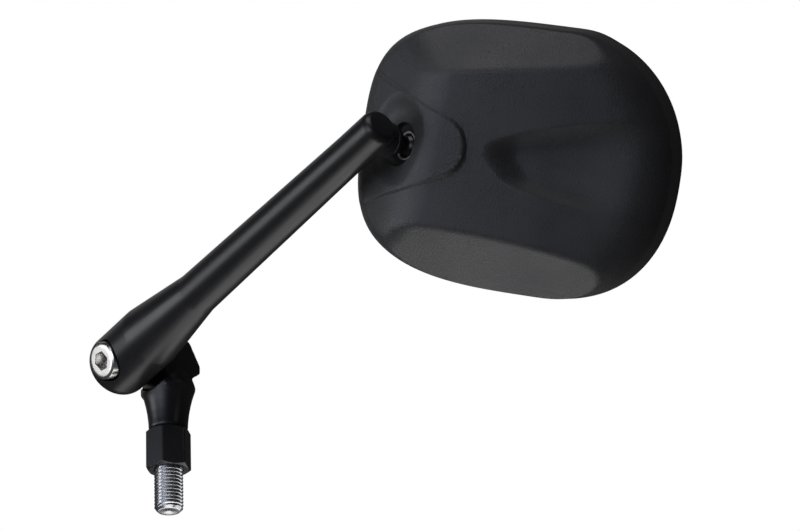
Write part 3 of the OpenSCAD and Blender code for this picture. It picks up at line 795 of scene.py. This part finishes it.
# Studio. The camera and the silvered glass see a white backdrop and floor. All other surfaces
# see a dark room with a soft glow from the front left and a small one from behind, three soft
# boxes, and two small cards that brighten the screw's head and the thread.
def seen_from(right, up, towards):
    """World direction given by shares of the camera's right, up and towards-the-camera axes."""
    return right * camera_right + up * camera_up + towards * to_camera


def soft_box(name, centre, direction, distance, size, radiance, colour=(1.0, 1.0, 1.0)):
    """Area lamp on a direction from a centre in millimetres, turned towards it. Its distance
    and size are metres, and its power is pi times its radiance times its area, so that it
    looks as bright at any size."""
    data = bpy.data.lights.new(name, "AREA")
    data.shape = "RECTANGLE"
    data.size, data.size_y = size
    data.energy = np.pi * radiance * size[0] * size[1]
    data.color = colour
    lamp = bpy.data.objects.new(name, data)
    lamp.visible_camera = False
    bpy.context.scene.collection.objects.link(lamp)
    away = Vector(direction).normalized()
    lamp.location = Vector(centre * MM) + away * distance
    lamp.rotation_euler = away.to_track_quat("Z", "Y").to_euler()


def seen_sharp(tree):
    """Socket that is 1 for what the camera or a perfectly sharp reflection sees, and else 0."""
    path = tree.nodes.new("ShaderNodeLightPath")
    return maths(tree, "MAXIMUM", path.outputs["Is Camera Ray"], path.outputs["Is Singular Ray"])


head_middle = np.array([165.0, 20.0, 75.0])
thread_middle = np.array([0.0, 0.0, -8.0])
soft_box("key_box", camera_target, seen_from(-0.95, 0.0, 0.2), distance=1.2, size=(0.5, 0.6), radiance=2.9,
         colour=(0.93, 0.96, 1.0))
soft_box("top_box", head_middle, seen_from(-0.25, 0.93, 0.28), distance=0.9, size=(0.8, 0.5), radiance=1.85)
soft_box("low_box", head_middle, seen_from(-0.12, -0.97, -0.2), distance=0.3, size=(0.24, 0.24),
         radiance=1.35)
soft_box("screw_card", pivot, seen_from(-0.99, -0.13, 0.03), distance=0.5, size=(0.2, 0.25), radiance=0.9)
soft_box("thread_card", thread_middle, (0.2, -0.2, -0.96), distance=0.2, size=(0.17, 0.17), radiance=1.2)

dark_room = (0.03, 0.03, 0.03)
world = bpy.data.worlds.new("studio")
bpy.context.scene.world = world
world.use_nodes = True
nodes, links = world.node_tree.nodes, world.node_tree.links
nodes.clear()
direction = nodes.new("ShaderNodeTexCoord")
light = None
for centre, colour, narrow, wide in (
        (seen_from(-0.58, 0.0, 0.81), (2.1, 2.2, 2.65), 4, 36),
        (seen_from(-0.3, 0.25, -0.92), (0.3, 0.3, 0.3), 8, 32)):
    along = nodes.new("ShaderNodeVectorMath")
    along.operation = "DOT_PRODUCT"
    along.inputs[1].default_value = centre / np.linalg.norm(centre)
    links.new(direction.outputs["Generated"], along.inputs[0])
    lobe = nodes.new("ShaderNodeMapRange")
    lobe.interpolation_type = "SMOOTHSTEP"
    lobe.inputs["From Min"].default_value = np.cos(np.radians(wide))
    lobe.inputs["From Max"].default_value = np.cos(np.radians(narrow))
    links.new(along.outputs["Value"], lobe.inputs["Value"])
    glow = nodes.new("ShaderNodeVectorMath")
    glow.operation = "MULTIPLY_ADD"
    glow.inputs[1].default_value = colour
    glow.inputs[2].default_value = dark_room
    links.new(lobe.outputs["Result"], glow.inputs[0])
    if light is not None:
        links.new(light, glow.inputs[2])
    light = glow.outputs[0]
seen = nodes.new("ShaderNodeMix")
seen.data_type = "RGBA"
seen.inputs["B"].default_value = (1.0, 1.0, 1.0, 1.0)
links.new(seen_sharp(world.node_tree), seen.inputs["Factor"])
links.new(light, seen.inputs["A"])
background = nodes.new("ShaderNodeBackground")
links.new(seen.outputs["Result"], background.inputs["Color"])
world_out = nodes.new("ShaderNodeOutputWorld")
links.new(background.outputs["Background"], world_out.inputs["Surface"])

# The floor lies below what the camera sees at rest. Its mesh is written in metres.
floor_drop = -2.2
floor_half = 6.0
floor_mesh = bpy.data.meshes.new("floor")
floor_mesh.from_pydata(
    [(x * floor_half, y * floor_half, floor_drop) for x, y in ((-1, -1), (1, -1), (1, 1), (-1, 1))],
    [], [(0, 1, 2, 3)])
floor = bpy.data.objects.new("floor", floor_mesh)
bpy.context.scene.collection.objects.link(floor)
floor_paint = bpy.data.materials.new("floor_paint")
floor_paint.use_nodes = True
floor_shader = floor_paint.node_tree.nodes["Principled BSDF"]
floor_shader.inputs["Base Color"].default_value = (0.86, 0.86, 0.86, 1.0)
floor_shader.inputs["Roughness"].default_value = 0.9
floor_shader.inputs["Emission Color"].default_value = (1.0, 1.0, 1.0, 1.0)
floor_paint.node_tree.links.new(seen_sharp(floor_paint.node_tree), floor_shader.inputs["Emission Strength"])
floor_mesh.materials.append(floor_paint)
